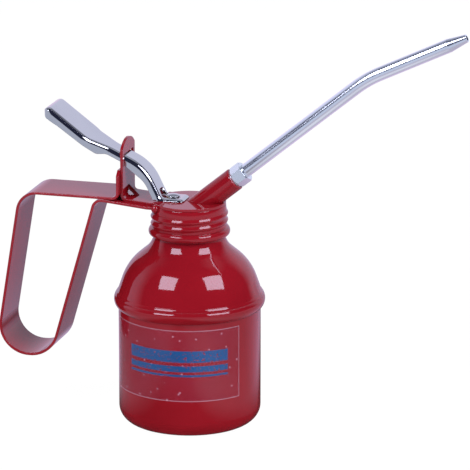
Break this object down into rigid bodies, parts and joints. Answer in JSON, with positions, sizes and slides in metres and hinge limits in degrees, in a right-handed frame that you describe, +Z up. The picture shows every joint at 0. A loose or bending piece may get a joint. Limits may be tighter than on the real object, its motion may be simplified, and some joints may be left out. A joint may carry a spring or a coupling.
{
  "type": "pump oil can",
  "caption": "Round two-part oil can with a screw-on pump head, strap handle with a finger loop, rocking thumb lever and a long bent spout.",
  "frame": {"origin": "centre of the base, at the height of the ring that the can stands on", "axes": "+Z up the can's axis, +X the way the spout points, the finger loop towards -X, +Y across"},
  "size_m": [0.2441, 0.078, 0.2126],
  "materials": {
    "red_paint": "gloss enamel",
    "bright_plate": "bright plated",
    "zinc_steel": "zinc plated",
    "spout_steel": "drawn steel tube",
    "spring_steel": "spring wire",
    "ball_steel": "polished ball",
    "turned_brass": "turned",
    "seal_rubber": "matt",
    "pump_leather": "oiled",
    "packing_cord": "greased cord"
  },
  "bodies": {
    "can": {"body_cup": "red_paint", "shoulder": "red_paint"},
    "gasket": {"cap_gasket": "seal_rubber"},
    "top": {"screw_cap": "red_paint", "top_plate": "red_paint", "handle_strap": "red_paint", "braze_beads": "red_paint", "pump_head": "turned_brass", "pump_barrel": "turned_brass", "rod_packing": "packing_cord", "gland_screw": "turned_brass", "ball_stop_pin": "zinc_steel", "foot_valve_seat": "turned_brass", "suction_tube": "turned_brass", "strainer": "turned_brass", "delivery_tube": "turned_brass", "spout_holder": "red_paint", "delivery_valve_seat": "turned_brass", "spout_ferrule": "turned_brass", "spout_nut": "zinc_steel", "spout_tube": "spout_steel", "return_spring": "spring_steel"},
    "lever": {"lever": "bright_plate"},
    "rod": {"pump_rod": "bright_plate", "piston": "turned_brass", "piston_cup": "pump_leather", "piston_nut": "zinc_steel"},
    "foot_ball": {"foot_valve_ball": "ball_steel"},
    "delivery_ball": {"delivery_valve_ball": "ball_steel"}
  },
  "joints": [
    {"name": "cap_lift", "type": "slide", "parent": "can", "child": "gasket", "axis": [0, 0, 1], "range_m": [0, 0.12]},
    {"name": "cap_turn", "type": "hinge", "parent": "gasket", "child": "top", "pos_m": [0, 0, 0.11], "axis": [0, 0, 1], "continuous": true},
    {"name": "lever_rock", "type": "hinge", "parent": "top", "child": "lever", "pos_m": [-0.03295, 0, 0.1357], "axis": [0, -1, 0], "range_deg": [0, 12], "stiffness_Nm_per_rad": 0.6, "springref_deg": -20.05},
    {"name": "rod_lift", "type": "slide", "parent": "top", "child": "rod", "axis": [0, 0, 1], "range_m": [0, 0.0049], "deforming": ["return_spring"]},
    {"name": "foot_ball_lift", "type": "slide", "parent": "top", "child": "foot_ball", "axis": [0, 0, 1], "range_m": [0, 0.0015]},
    {"name": "delivery_ball_lift", "type": "slide", "parent": "top", "child": "delivery_ball", "axis": [0.7727, 0, 0.6347], "range_m": [0, 0.0012]}
  ],
  "couplings": [
    {"joint": "rod_lift", "follows": "lever_rock", "m_per_rad": 0.02327}
  ]
}
